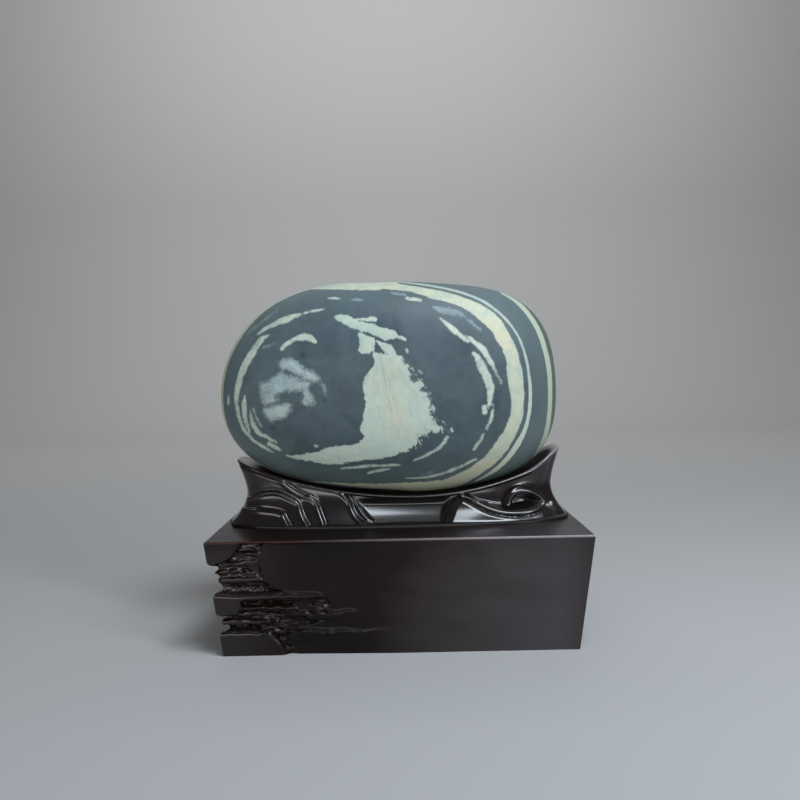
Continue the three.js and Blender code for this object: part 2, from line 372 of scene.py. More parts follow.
def stoneSurface(angle, turn, grow=0.0):
    # angle runs round the outline and turn from the front pole to the back pole. The section is a
    # squared-off oval, and the outline goes from a plain oval to the measured one towards the rim.
    power = stone["profilePower"]
    size = (np.abs(np.sin(turn)) ** power + np.abs(np.cos(turn)) ** power) ** (-1 / power)
    across = np.sin(turn) * size
    radius = (mixed(ovalRadius(angle), outlineRadius(angle), across**3) + grow) * across
    centreX, centreZ = stone["centre"]
    depth = -(stone["halfDepth"] + grow) * np.cos(turn) * size
    return np.stack(
        [centreX + radius * np.cos(angle), depth, centreZ + radius * np.sin(angle)], axis=-1
    )


# Markings on the face, in picture points: the middle line of each stroke and its width there.
strokes = {
    "leftUpper": [(301, 314.6, 1), (297, 315.3, 3.5), (292, 316.8, 5.5), (285, 319.5, 6.5),
                  (278, 322.3, 5), (270.5, 325.7, 3.5), (264.5, 329.4, 3), (257, 334.5, 1)],
    "leftMain": [(269.5, 334.8, 1), (264, 337, 3), (260.5, 340.5, 5.5), (256, 346.5, 6),
                 (251, 355, 6.3), (246, 363.5, 6.5), (242.3, 371, 6.2), (239.5, 380, 5.2),
                 (237.5, 389, 4.8), (236.2, 399, 4), (237, 408, 3.4), (239.1, 417.8, 3),
                 (242.7, 427.5, 3), (247.6, 434.8, 2.8), (253.6, 440.8, 2.6), (260.9, 445.7, 2.2),
                 (268.2, 449.3, 2), (273, 452.4, 1)],
    "leftInner": [(245.1, 395.5, 1), (244, 402, 4.6), (243.9, 411, 4.4), (245.1, 418, 4),
                  (247, 425, 3), (249.4, 432, 1.5)],
    "leftThird": [(250.4, 412, 1), (251.6, 420, 2.8), (254.2, 427.5, 4), (258.5, 433, 3.5),
                  (264.5, 436, 3), (270.6, 439, 3.4), (276, 442, 1.6)],
    "leftThin": [(253.4, 408, 1), (256, 417.8, 1.8), (262, 426.8, 1)],
    "leftDot": [(228.2, 396, 1.5), (228.2, 400, 2.6), (228.2, 404.5, 1.5)],
    "leftFoot": [(269.5, 444.3, 3.4), (275, 447, 4), (280.5, 449.8, 1.6)],
    "leftArc": [(281.8, 348.8, 4.4), (284, 345.6, 3.2), (289, 342.2, 3.6), (295, 339.5, 4.6),
                (302, 336.6, 6.4), (308, 336.6, 6.8), (313, 339.6, 5.4), (315.4, 342, 2.5)],
    "topThin": [(305, 312.8, 1), (314, 310.8, 2), (323.5, 309.2, 1.2)],
    "faintTop": [(328, 298.1, 1), (334, 298.2, 1.8), (340.5, 298.6, 1)],
    "crownRight": [(407.5, 298.3, 2.6), (412.5, 298.9, 3.8), (419.5, 299.8, 2.6)],
    "rightTop": [(440.3, 318.5, 1), (445, 322.4, 3.6), (451, 327.2, 5), (457, 332.2, 5),
                 (463, 337.2, 4), (469, 342, 2)],
    "rightMiddle": [(466, 335.5, 1), (471, 338.6, 3.4), (476.5, 343.3, 5), (481.6, 348.6, 6.6),
                    (486, 354, 6.4), (489.8, 360.4, 5), (493.2, 366.4, 2.6), (496.6, 373, 1.9),
                    (500, 380, 1.8), (502.2, 385, 1)],
    "rightWide": [(473, 353.6, 3), (476, 355.4, 5), (479, 359.6, 7), (482.4, 367, 8.4),
                  (486.2, 375.4, 8.2), (489.4, 383, 7.8), (491, 390.4, 7), (490.6, 397.6, 6),
                  (489.4, 404, 4), (488.8, 408, 2.4)],
    "rightDot": [(484.2, 406.5, 3.4), (484.4, 411.6, 4.4)],
    "rightThin": [(493.6, 405, 1), (493, 411, 2.2), (491, 419, 2.6), (486.6, 430, 1.6)],
    "rightLow": [(484, 433.4, 2), (480.6, 439.6, 2.6), (474.2, 449, 1.4)],
    "underPatch": [(447, 437, 2.4), (444.4, 442.8, 3), (437, 449.2, 2.6), (428.5, 454.2, 2.2),
                   (414, 460.4, 1.2)],
    "lowLong": [(341, 468.8, 1), (355, 467.2, 2), (370, 466, 2.4), (385, 465.3, 2.4),
                (400.5, 464.9, 1.2)],
    "lowShort": [(368, 473.3, 1.6), (377.3, 470.8, 3), (389, 469.2, 1.8)],
    "dotUpper": [(406.6, 349.4, 2.2), (407.2, 351.4, 2.2)],
    "dotLower": [(451, 428.6, 2.2), (452, 431.4, 2.2)],
    "fleck": [(315, 446.2, 2), (317.5, 446.4, 2)],
    "fleckRight": [(419, 371, 2), (421.4, 373, 2)],
}
# Fainter ones, more blue than the rest.
hazes = {
    "upperRight": [(432.8, 307.2, 2), (440, 309, 5.5), (449, 311.2, 6.5), (458, 313.2, 5.5),
                   (464, 315, 2.5)],
    "farRight": [(464.5, 317, 2), (472.6, 322.6, 3.6), (481, 330.6, 2)],
    "crownLeft": [(392, 292.8, 1.6), (399, 293.8, 3), (406.5, 295, 1.6)],
    "topFaint": [(352, 299, 1.6), (357, 299.8, 3), (362, 300, 1.6)],
    "leftOuter": [(247.6, 333, 1.4), (253, 328.6, 2), (262, 322.2, 1.6)],
    "leftOuterTop": [(266, 318.6, 1.4), (271, 315, 1.8), (277, 311, 1.2)],
    "cloudTail": [(321, 383, 2), (324.6, 388, 3), (325.4, 394, 2)],
    "lowRight": [(422, 474.6, 1.4), (428, 472.8, 2.4), (433, 471.2, 1.4)],
    "leftArcTail": [(263, 347.5, 2), (268, 345.8, 3.6), (274, 344, 2)],
}
# The bands that run round the stone: one edge and the other, in picture points.
bands = {
    "main": (
        [(316, 288.4), (340, 289.6), (360, 290), (380, 290), (398, 290), (408, 291), (420, 294),
         (431, 298.3), (448, 301), (459, 305), (468.5, 310.6), (477, 316.6), (485.4, 323.3),
         (491.5, 330.6), (496, 338.4), (501.4, 346.3), (504.4, 353.6), (505.8, 362), (507.2, 373),
         (509, 385), (510.9, 397.2), (511.5, 409.3), (509.6, 417.8), (506, 426.3), (502.4, 433.6),
         (497.5, 439.6), (492.7, 446.9), (487, 455), (476.5, 463.6), (463.8, 471.3), (451, 477),
         (438, 480.4), (425, 482), (410, 482.6), (395, 483), (370, 483.6), (345, 483.4), (327, 482),
         (311, 480.6)],
        [(316, 285.6), (340, 281.4), (360, 280.6), (380, 281.2), (396, 283.2), (408, 285.2),
         (420, 287.3), (433, 289.4), (448, 293), (462.4, 297.3), (474.5, 302.1), (485.4, 307.6),
         (493.9, 313.6), (502.4, 322.1), (508.4, 331.8), (513.9, 342.7), (518.2, 352.4),
         (520.8, 364.5), (522.8, 374.2), (524, 386.3), (524.4, 398.4), (523.8, 410.6),
         (521.6, 421.5), (517.4, 432.4), (512.6, 440.8), (507, 450), (500, 459), (489.3, 467),
         (476.5, 477), (463.8, 484), (450, 488.6), (430, 490.6), (412, 491), (390, 490.2),
         (365, 487.6), (345, 485.4), (327, 483.4), (311, 481.8)],
    ),
}
# The thin rings outside it: their middle line and width.
rings = {
    "second": [(392, 281.6, 1.2), (431, 285.6, 1.8), (448, 288.8, 2), (464.8, 293.6, 2.2),
               (479.4, 299.1, 2.3), (489.1, 304.5, 2.3), (497.5, 311.2, 2.3), (506, 319.1, 2.3),
               (513.3, 328.2, 2.3), (519.3, 337.9, 2.4), (524.2, 350, 2.5), (527.2, 362.1, 2.6),
               (529, 374.2, 2.8), (530.2, 386.3, 3), (530.5, 398.4, 3.2), (529.8, 410.6, 3.6),
               (527.8, 421.5, 4), (524.2, 432.4, 4.4), (519, 442, 4.8), (513.4, 451.4, 5),
               (505, 461.6, 4.4), (497, 468.9, 3.4), (486.7, 475.5, 2.6), (476.5, 480.8, 1.6)],
    "third": [(505, 294.8, 1.2), (511, 298.3, 2.2), (516.9, 302.1, 3.2), (524.2, 308.8, 4),
              (530.2, 316.6, 4.2), (536.3, 325.7, 4.5), (541.2, 336.6, 4.6), (544.8, 348.8, 4.8),
              (547.8, 360.9, 4.8), (549.4, 373, 4.6), (550, 385.1, 4.3), (550.2, 397.2, 4),
              (549.8, 409.3, 4), (548.6, 421.5, 4), (546.2, 433.6, 4), (543, 443.3, 4.2),
              (538.7, 451.8, 4.6), (532, 461.8, 4.2)],
    "limb": [(318, 287.4, 2.2), (305, 290.9, 2), (290, 296.6, 2), (275, 303.8, 2), (258, 316.8, 2),
             (243, 334, 1.8), (231.6, 353.6, 1.6), (224, 378, 1.6), (222.6, 402, 1.6),
             (226.6, 424.4, 1.6), (235.6, 442.4, 1.6), (249.6, 457.4, 1.6), (270, 469.4, 1.6),
             (292, 477, 1.6), (311, 481.4, 1.6)],
}
# Lines inside the main band's lower end.
lines = {
    "bottomLine": [(406, 478.4, 1.4), (425.5, 477.4, 2.2), (442, 473.8, 2.4), (456, 468.7, 2.4),
                   (466.3, 464.2, 2.2), (475, 459.4, 1.4)],
}
# The large pale patch, in picture points: several outlines joined.
patch = {
    "bar": [(334, 316.8), (338.4, 314.6), (346.9, 315), (351.8, 318.2), (359, 320.6),
            (367.5, 322.5), (377.2, 325.5), (384.5, 328), (388, 328.2), (393.3, 330.4), (397, 334),
            (404.2, 336.4), (407, 340.4), (403, 339.8), (397, 338), (392, 338.8), (384.8, 340.4),
            (379.6, 338), (372.4, 333.8), (365, 332), (357.8, 330.2), (350.6, 327.8),
            (345.7, 324.7), (340.9, 321.7), (336, 320)],
    "barTop": [(356.6, 318.8), (363.9, 318.4), (371.2, 317), (377.4, 318.4), (376.8, 321.6),
               (367.5, 322), (359, 321)],
    "block": [(358.4, 332.2), (362.7, 332.8), (367.5, 336), (373.6, 337.7), (375, 345),
              (374.4, 350), (370, 353), (366.3, 354), (360.2, 352.8), (358.2, 349.6), (360.2, 345),
              (358.8, 339)],
    "link": [(372.4, 348.6), (375.4, 353), (384, 355.4), (378, 358), (373, 356)],
    "slant": [(376.6, 341), (384.5, 342.3), (391.8, 345.8), (395.8, 352.4), (398, 357.6),
              (394.2, 361), (388.6, 356), (384, 350.4), (379.4, 345.6)],
    "sheet": [(373, 353.4), (374.8, 362), (370, 370.6), (366.3, 376.6), (362.7, 382.7),
              (362.7, 391.2), (364.5, 398.4), (366.3, 404.5), (363.3, 413), (363.3, 420.2),
              (360.2, 427.5), (360.9, 432.4), (363.9, 436), (359, 442), (350.6, 445.5),
              (342, 445.5), (331.2, 446.1), (325, 448), (319, 451.4), (310.6, 452.8), (302, 454.6),
              (286.5, 455.3), (290, 457.2), (297, 459), (306, 460.6), (314.8, 462.5),
              (327.6, 463.8), (340.3, 463.8), (353, 462), (365.8, 460), (378.6, 459.2),
              (391.3, 456.8), (400, 452.9), (403, 451.8), (409, 448.3), (415.1, 446), (420, 443.6),
              (422.4, 438), (426, 434.4), (432.1, 433.2), (438.2, 431.4), (443.6, 428.2),
              (443.2, 424.8), (436.3, 425), (435.7, 419), (433.3, 414.2), (434.5, 409.3),
              (430.9, 403.3), (428.5, 398.4), (426.6, 392.4), (421.6, 390), (424.8, 386.3),
              (424, 383), (418, 380), (412.5, 379), (414, 374), (409.5, 368), (405.4, 362.5),
              (401.4, 356.6), (394.5, 354.6), (386, 354.4)],
}
# The grey cloud beside it.
cloud = {
    "streak": [(277.9, 363.3), (282.7, 360.6), (288.8, 358.8), (294.8, 360.7), (299.7, 365.5),
               (306.9, 369.2), (314.2, 372.8), (319, 377.6), (320, 380), (314.2, 381.2),
               (306.9, 380.6), (298.5, 375.7), (292.4, 372.7), (282.7, 368.4), (278.5, 366)],
    "sheet": [(262.1, 382.7), (269.4, 381.3), (274.2, 376.4), (277.9, 374), (282.7, 372.8),
              (287.5, 375.2), (293.6, 376.4), (302.1, 380.1), (309, 383.6), (306.9, 390),
              (310.6, 393.6), (314.2, 399.7), (313, 404.7), (305.7, 404.7), (302.1, 401),
              (304.5, 396), (302.1, 391.4), (294.8, 390.2), (285.1, 391.4), (277.9, 393.8),
              (275.4, 397.2), (277.9, 401), (270.6, 403.5), (264.5, 406), (261.8, 401),
              (260.7, 392.4)],
    "foot": [(264.5, 408), (270.6, 405.5), (277.9, 404.3), (287.5, 405.5), (292.6, 409.3),
             (287.5, 414.4), (282.7, 419.2), (276.6, 419.2), (271.8, 421.8), (266.9, 416.8),
             (263.7, 411.8)],
}
# Dark pits, as short strokes.
pits = {
    "upper": [(302, 353.6, 3.6), (303.4, 357, 3.6)],
    "lower": [(325, 399.4, 3.4), (325.2, 402, 3.4)],
    "side": [(271, 427, 2.6), (274, 428.5, 2.6)],
}
# The patch frays on its right side, its streaks fan out from its top, and its middle is warmer.
patchLook = {
    "frayedAcross": (388, 424),  # frays more and more from left to right
    "frayedDown": (345, 362),
    "streaksFrom": (374, 318),
    "warmTop": (383, 350),
    "warmLean": 0.16,  # points to the right for each point down
    "warmWidth": 15,
    "warmStart": (346, 372),
    "warmEnd": (420, 452),
}
# Bands round the back, from the rim (0) towards the middle of the back (1): place, width in
# millimetres, how far the place wanders, and where the band starts and ends, in turns.
backBands = [
    (0.10, 3.0, 0.020, 0.00, 1.00),
    (0.20, 8.5, 0.030, 0.00, 1.00),
    (0.27, 2.2, 0.030, 0.10, 0.80),
    (0.45, 4.5, 0.050, 0.30, 0.62),
    (0.56, 6.5, 0.060, 0.55, 0.95),
    (0.62, 3.0, 0.060, 0.05, 0.40),
    (0.78, 9.0, 0.090, 0.35, 0.75),
]


def nearestOnStone(picture, surface, seen, points):
    # the stone's point that is seen nearest to each picture point
    picturePoints = picture[seen]
    surfacePoints = surface[seen]
    found = [np.argmin(((picturePoints - np.array(point)) ** 2).sum(-1)) for point in points]
    return surfacePoints[found]


def towardsViewer(surface):
    # true where the surface faces the camera
    normal = np.cross(np.gradient(surface, axis=1), np.gradient(surface, axis=0))
    outward = surface - np.array([stone["centre"][0], 0, stone["centre"][1]])
    normal *= np.sign((normal * outward).sum(-1, keepdims=True))
    return (normal * (surface - np.array(view["place"]))).sum(-1) < 0


def markingFields(surface, angle, turn):
    # Signed distances in millimetres, positive inside a marking. Strokes and bands are laid onto
    # the surface point by point, and outlines are measured in the picture.
    picture = pictureOf(surface)
    seen = towardsViewer(surface)
    pointsPerMm = 1.38  # picture points in a millimetre of the face
    hidden = -20.0
    outlinesBefore = -5.0  # outlines are laid only on what lies before this depth
    bandPoints = 90

    def edges(line):
        line = rounded(line, times=1)
        heading = np.gradient(line[:, :2], axis=0)
        heading /= np.maximum(np.linalg.norm(heading, axis=1, keepdims=True), 1e-6)
        sideways = np.stack([-heading[:, 1], heading[:, 0]], axis=1) * line[:, 2:] / 2
        return line[:, :2] + sideways, line[:, :2] - sideways

    def ribbon(firstEdge, secondEdge):
        first = nearestOnStone(picture, surface, seen, firstEdge)
        second = nearestOnStone(picture, surface, seen, secondEdge)
        middle = rounded((first + second) / 2, times=1)
        halfWidth = rounded(np.linalg.norm(first - second, axis=-1)[:, None] / 2, times=1)[:, 0]
        away, place = lineDistance(surface, middle)
        return np.interp(place, np.arange(len(halfWidth)), halfWidth) - away

    def strokeField(group):
        return np.max([ribbon(*edges(line)) for line in group.values()], axis=0)

    def ring(line):
        # across the ring the distance is signed by the side, so that thin lines stay whole
        first, second = [nearestOnStone(picture, surface, seen, edge) for edge in edges(line)]
        middle = rounded(smoothed((first + second) / 2), times=1)
        width = rounded(smoothed(np.linalg.norm(first - second, axis=-1)[:, None]), times=1)[:, 0]
        away, place = lineDistance(surface, middle)
        count = np.arange(len(middle))
        centre = np.array([stone["centre"][0], -stone["halfDepth"], stone["centre"][1]])
        nearest = np.stack([np.interp(place, count, column) for column in middle.T], axis=-1)
        outside = ((surface - nearest) * (nearest - centre)).sum(-1) > 0
        return np.where(outside, away, -away), np.interp(place, count, width) / 2

    def outlineField(group):
        face = surface[..., 1] < outlinesBefore
        field = np.full(face.shape, hidden)
        for outline in group.values():
            distance = insideDistance(picture[face], outline) / pointsPerMm
            field[face] = np.maximum(field[face], distance)
        return field

    # behind the rim, each band's place wanders in slow waves
    back = np.full(turn.shape, hidden)
    reach = (turn / math.pi - 0.5) * 2
    turnLength = 118.0  # millimetres from rim to back pole
    for number, (place, width, wander, start, end) in enumerate(backBands):
        wave = np.sin(2 * angle + number) + 0.6 * np.sin(3 * angle + 2.1 * number)
        away = np.abs(reach - place - wander * wave) * turnLength
        turns = angle / (2 * math.pi)
        ends = 60 * np.minimum(turns - start, end - turns) + (20 if end - start == 1 else 0)
        back = np.maximum(back, np.minimum(width / 2 - away, ends))
    back = np.where(turn > math.pi / 2, back, hidden)

    fields = {
        "patch": outlineField(patch),
        "cloud": outlineField(cloud),
        "strokes": np.maximum(strokeField(strokes), strokeField(lines)),
        "haze": strokeField(hazes),
        "pits": strokeField(pits),
        "bands": np.maximum(ribbon(*[evened(edge, bandPoints) for edge in bands["main"]]), back),
    }
    for name, line in rings.items():
        fields[name + "Side"], fields[name + "Width"] = ring(line)
    x, y = picture[..., 0], picture[..., 1]
    look = patchLook
    fields["frayed"] = smoothStep(x, *look["frayedAcross"]) * smoothStep(y, *look["frayedDown"])
    fanX, fanY = look["streaksFrom"]
    fields["fan"] = np.arctan2(x - fanX, np.maximum(y - fanY, 6))
    warmX, warmY = look["warmTop"]
    middle = warmX + look["warmLean"] * (y - warmY)
    length = smoothStep(y, *look["warmStart"]) * (1 - smoothStep(y, *look["warmEnd"]))
    fields["warm"] = bump(x - middle, look["warmWidth"]) * length
    fields["reach"] = turn
    return fields


def makeStone():
    # a grid of angles round the outline and turns from the front pole to the back one
    front = np.linspace(0, math.pi / 2, stone["frontRings"])
    back = np.linspace(math.pi / 2, math.pi, stone["backRings"] + 1)[1:]
    angle, turn = np.meshgrid(
        np.linspace(0, 2 * math.pi, stone["columns"], endpoint=False), np.concatenate([front, back])
    )
    surface = stoneSurface(angle, turn, stone["inset"])
    return ringMesh("riverStone", surface, markingFields(surface, angle, turn))


# Linear colours of the slate and of each marking on it; the painted light ones paint light onto the
# rim and the lower part.
stoneColours = {
    "slateDark": (0.037, 0.062, 0.076),
    "slateLight": (0.071, 0.106, 0.127),
    "slateBroad": (0.074, 0.106, 0.127),
    "slateCloudy": (0.091, 0.126, 0.144),
    "slateLayer": (0.078, 0.100, 0.114),
    "slateDeep": (0.040, 0.062, 0.068),
    "paintedRimLight": (0.128, 0.170, 0.170),
    "paintedLowRimLight": (0.140, 0.190, 0.185),
    "pit": (0.020, 0.036, 0.050),
    "haze": (0.24, 0.32, 0.325),
    "cloudBlue": (0.32, 0.42, 0.44),
    "cloudPale": (0.41, 0.50, 0.45),
    "cloudLow": (0.38, 0.47, 0.42),
    "strokeDark": (0.31, 0.41, 0.36),
    "strokeLight": (0.50, 0.57, 0.48),
    "strokePaintedLight": (0.56, 0.66, 0.58),
    "patchDark": (0.34, 0.445, 0.400),
    "patchLight": (0.45, 0.535, 0.46),
    "patchStreak": (0.51, 0.54, 0.42),
    "patchWarm": (0.53, 0.51, 0.37),
    "patchHair": (0.21, 0.235, 0.20),
    "patchSpeck": (0.15, 0.20, 0.20),
    "patchPaintedLight": (0.56, 0.67, 0.60),
    "bandDark": (0.38, 0.455, 0.385),
    "bandLight": (0.54, 0.535, 0.385),
    "bandLayer": (0.40, 0.49, 0.43),
    "bandFootPaintedLight": (0.62, 0.64, 0.42),
    "bandPaintedLight": (0.62, 0.66, 0.50),
    "secondRing": (0.37, 0.45, 0.40),
    "secondRingPaintedLight": (0.56, 0.63, 0.52),
    "thirdRing": (0.41, 0.48, 0.38),
    "limb": (0.47, 0.52, 0.40),
    "beyondThird": (0.105, 0.115, 0.080),
}


def stoneFinish():
    # slate first, then haze, cloud, strokes, patch, bands and rings, each laid over the last
    tone = stoneColours
    finish = Finish("riverStoneFinish", Specular_IOR_Level=stone["shine"])
    point = finish.place()
    broad = finish.noise(point, 9, 4, 0.6)
    mottle = finish.noise(point, 38, 5, 0.65, 0.6)
    cloudy = finish.noise(point, 90, 6, 0.7, 0.8)
    fine = finish.noise(point, 700, 3, 0.6)
    ragged = finish.noise(point, 240, 4, 0.65)

    # faint layers that follow the rings
    where, _, upward = finish.parts(point)
    reach = finish.attribute("reach")
    layered = finish.combine(where * 0.05, reach * 0.09, upward * 0.05)
    layers = finish.noise(layered, 300, 4, 0.6, 0.4)

    def edged(name, coarse, fineness, soft):
        # a marking with a ragged edge: two noises move its edge, and soft is its half width
        field = finish.attribute(name)
        return (field + ragged * coarse + fine * fineness).between(-soft, soft)

    def ring(name):
        side, width = finish.attribute(name + "Side"), finish.attribute(name + "Width")
        return (width - side.size() + ragged * 1.4 + fine * 0.8).between(-0.45, 0.45)

    # painted light: low down the stone, the markings take lighter copies of their colours
    lower = (upward * -16.0 + 2.9).clamped()
    slate = finish.mix((mottle * 3.8 + 0.5).clamped(), tone["slateDark"], tone["slateLight"])
    slate = finish.mix((broad * 3.6 + where * 3.0 + 0.1).clamped() * 0.7, slate, tone["slateBroad"])
    slate = finish.mix((cloudy * 4.0 - 0.15).clamped() * 0.5, slate, tone["slateCloudy"])
    slate = finish.mix((layers * 3.4 + 0.1).clamped() * 0.5, slate, tone["slateLayer"])
    slate = finish.mix((broad * -3.0 + 0.2).clamped() * 0.5, slate, tone["slateDeep"])
    # painted light: the slate turns lighter towards the rim, and lighter still low down on the rim
    slate = finish.mix(reach.between(0.55, 1.4) * 0.8, slate, tone["paintedRimLight"])
    paintedLowRimShare = reach.between(0.5, 1.2) * (upward * -22.0 + 3.3).clamped()
    slate = finish.mix(paintedLowRimShare * 0.5, slate, tone["paintedLowRimLight"])
    slate = finish.mix(edged("pits", 3, 1, 0.8) * 0.7, slate, tone["pit"])

    veil = edged("haze", 5, 2, 0.9) * (cloudy * 2.0 + 0.75).clamped() * 0.75
    colour = finish.mix(veil, slate, tone["haze"])
    misty = (cloudy * 2.0 + mottle * 1.6 + 0.95).clamped()
    blue = finish.mix((mottle * 4.0 + 0.45).clamped(), tone["cloudBlue"], tone["cloudPale"])
    greyed = finish.mix((upward * -26.0 + 4.6).clamped() * 0.7, blue, tone["cloudLow"])
    colour = finish.mix(edged("cloud", 7, 3, 2.4) * misty, colour, greyed)

    celadon = finish.mix((cloudy * 3.6 + 0.5).clamped(), tone["strokeDark"], tone["strokeLight"])
    # painted light: the strokes are lighter low down
    celadon = finish.mix(lower * 0.4, celadon, tone["strokePaintedLight"])
    thin = (cloudy * 2.6 + ragged * 1.6 + 1.1).clamped()
    colour = finish.mix(edged("strokes", 1.7, 1.8, 0.85) * thin, colour, celadon)

    # streaks that fan out down the patch, with bare hairs between them on its right side
    fan = finish.attribute("fan")
    fanned = finish.combine(fan, where * 1.1, upward * 1.1)
    streaks = finish.noise(fanned, 22, 4, 0.65, 0.8)
    hairs = finish.noise(fanned, 62, 4, 0.65, 0.6)
    frayed, warm = finish.attribute("frayed"), finish.attribute("warm")
    field = finish.attribute("patch") + ragged * 4.5 + fine * 2.4
    field = field + frayed * (ragged * 12 + cloudy * 9 + fine * 4 + hairs * 12 - 0.4)
    pale = finish.mix((cloudy * 4.0 + 0.5).clamped(), tone["patchDark"], tone["patchLight"])
    streaked = (streaks * 4.0 + broad * 2.0 + 0.1).clamped()
    pale = finish.mix(streaked * 0.5, pale, tone["patchStreak"])
    pale = finish.mix(warm * (streaks * 6.0 + 0.6).clamped() * 0.75, pale, tone["patchWarm"])
    pale = finish.mix((hairs * 7.0 + warm * 0.8 - 0.75).clamped() * 0.6, pale, tone["patchHair"])
    specks = (ragged * 7.0 + hairs * 5.0 - 1.0).clamped() * frayed
    pale = finish.mix(specks * 0.6, pale, tone["patchSpeck"])
    # painted light: the patch is lighter low down
    pale = finish.mix(lower * 0.4, pale, tone["patchPaintedLight"])
    colour = finish.mix((field * (1.1 - frayed * 0.65) + 0.5).clamped(), colour, pale)

    blotched = (cloudy * 5.0 + mottle * 3.0 + 0.4).clamped()
    cream = finish.mix(blotched, tone["bandDark"], tone["bandLight"])
    cream = finish.mix((layers * 4.0 + 0.1).clamped() * 0.5, cream, tone["bandLayer"])
    # painted light: low down the band takes lighter creams, the lowest also yellower
    cream = finish.mix((upward * -45.0 + 5.3).clamped() * 0.6, cream, tone["bandFootPaintedLight"])
    cream = finish.mix(lower * 0.35, cream, tone["bandPaintedLight"])
    colour = finish.mix(edged("bands", 2.2, 1.8, 0.65), colour, cream)
    # painted light: the second ring is lighter low down
    secondTone = finish.mix(lower, tone["secondRing"], tone["secondRingPaintedLight"])
    colour = finish.mix(ring("second"), colour, secondTone)
    onFront = (math.pi / 2 + 0.10 - reach).between(0, 0.06)
    limb = (finish.attribute("limbSide") + ragged * 1.5).between(-0.3, 0.3)
    colour = finish.mix(limb * onFront, colour, tone["limb"])
    beyond = (finish.attribute("thirdSide") - finish.attribute("thirdWidth")).between(-0.5, 1.0)
    colour = finish.mix(beyond * onFront * 0.55, colour, tone["beyondThird"])
    colour = finish.mix(ring("third"), colour, tone["thirdRing"])
    finish.feed("Base Color", colour)
    finish.feed("Roughness", mottle * 0.25 + 0.48)
    finish.relief(fine * 0.5 + cloudy, 0.0004, 0.35)
    return finish.material


riverStone = makeStone()
riverStone.data.materials.append(stoneFinish())
print("stone made:", len(riverStone.data.polygons), "faces")

# The carved stand, in millimetres.
plinth = {
    "halfWidth": 123.8,
    "halfDepth": 80.0,
    "height": 76.0,
    "taper": 8.8,  # how far each side leans in, from top to bottom
    "edgeRound": 1.0,
    "cliffDepth": 6.5,
    "groundDepth": 4.5,
    "groundEdge": 2.0,
    "groundEnd": -4.0,  # the ground slopes down to the left of here
    "groundLength": 118.0,
    "cliffSlope": (2.2, 9.0),  # low cliffs break off, high ones rise gently to the face
    "cliffBreak": (43, 50),
    "brickLength": 4.2,
    "lipStand": 1.9,
    "sideStretch": 1.4,  # the left side carries the front's carving, drawn out along Y
    "course": 5.6,  # height of a course of rock in the cliffs
    "rows": 124,
    "red": (0.0160, 0.0046, 0.0034),
    "gloss": 0.13,
    "paintedSheen": 1.0,  # how much painted sheen lies low on the right, a lighter grey standing in for the lacquer's reflection
}

seat = {
    "footHalfWidth": 121.0,
    "footHalfDepth": 46.0,
    "footHeight": 2.0,
    "wallHalfDepth": 42.0,
    "rimHalfDepth": 31.5,
    "waistHalfWidth": 109.3,
    "footFlare": 10.5,
    "hornFlare": 6.7,
    "planPower": 3.2,
    "rimLowX": 12.0,
    "rimLowHeight": 19.2,
    "rimRise": (0.00156, 0.0024),  # to the left and to the right
    "hornLift": 4.5,  # the right horn stands this much higher still
    "horn": (92.0, 112.0),  # from here to here
    "underStone": 0.4,  # gap straight under the stone
    "besideStone": 2.2,  # and at its sides
    "columns": 1040,
    "columnCrowding": 1.6,
    "wallRows": 58,
    "dishRows": 12,
    "lipRows": 5,
    "edgeRows": 6,
    "rimRound": 0.9,
    "lipDrop": 1.0,  # the lip lies this much lower just behind its rolled edge
    "glossyTip": (-110.0, -100.0),  # the left horn's tip is lacquered on top as well
    "red": (0.0110, 0.0046, 0.0036),
    "gloss": 0.95,
    "paintedSheen": 0.0,
}

# Carving of the seat's face, in X and in height above the plinth: sheets of rock that overlap.
terraces = [
    (1.5, [(-130, -5), (-130, 60), (-98, 50), (-87.5, 38.5), (-79.8, 30.8), (-72.8, 25.2),
           (-66.1, 21.6), (-59.3, 20.1), (-56, 16), (-54.1, 10.8), (-50.2, 2.7), (-49, -5)]),
    (1.5, [(-130, -5), (-130, 12), (-103.7, 18.9), (-94, 23.8), (-83.4, 24.7), (-75, 20.8),
           (-67.9, 17.2), (-66.4, 11), (-63.8, 5.7), (-61.1, 2.9), (-59, -5)]),
    (1.6, [(-130, -5), (-130, 12.6), (-97.8, 12.6), (-78.7, 11.3), (-76.1, 6), (-72.1, 0.4),
           (-71, -5)]),
    (1.8, [(-130, -5), (-130, 60), (-60, 40), (-44, 26), (-38.1, 22.7), (-33.1, 15.6), (-30.9, 9.4),
           (-26.2, 4.3), (-22.2, 2.1), (-20, -5)]),
]
leafOutline = [(30.4, -8), (30.6, 0), (31.4, 4.4), (33.2, 8.4), (35.4, 13), (39, 17), (43.4, 19.4),
               (48, 17.4), (54.5, 14), (61.3, 10.6), (68.2, 8.6), (75.2, 7.7), (82.1, 7.5),
               (89.1, 8), (95.4, 9.4), (99.4, 11.4), (101.6, 9.4), (104, 5), (108, 1), (110, -8)]
loopLine = [(43.4, 18.4), (49, 16.2), (54.5, 13.4), (61.3, 10.2), (68.2, 8.1), (75.2, 7),
            (82.1, 6.8), (89.1, 7.4), (95.4, 8.8), (99.4, 10.9), (99.6, 13.6), (97.2, 16.4),
            (93.4, 19), (88.6, 20.7), (83.4, 21), (78.8, 19.6), (75.8, 16.4), (74.8, 12.6)]
ridgeLine = [(45, 18.6), (49.4, 16.9), (56.3, 14.9), (63.2, 13.2), (70, 12.2), (74.6, 11.8)]
hoodLine = [(76.2, 19.4), (78.8, 22.8), (83.4, 24.7), (88.6, 25), (93.2, 23.6), (97, 21)]
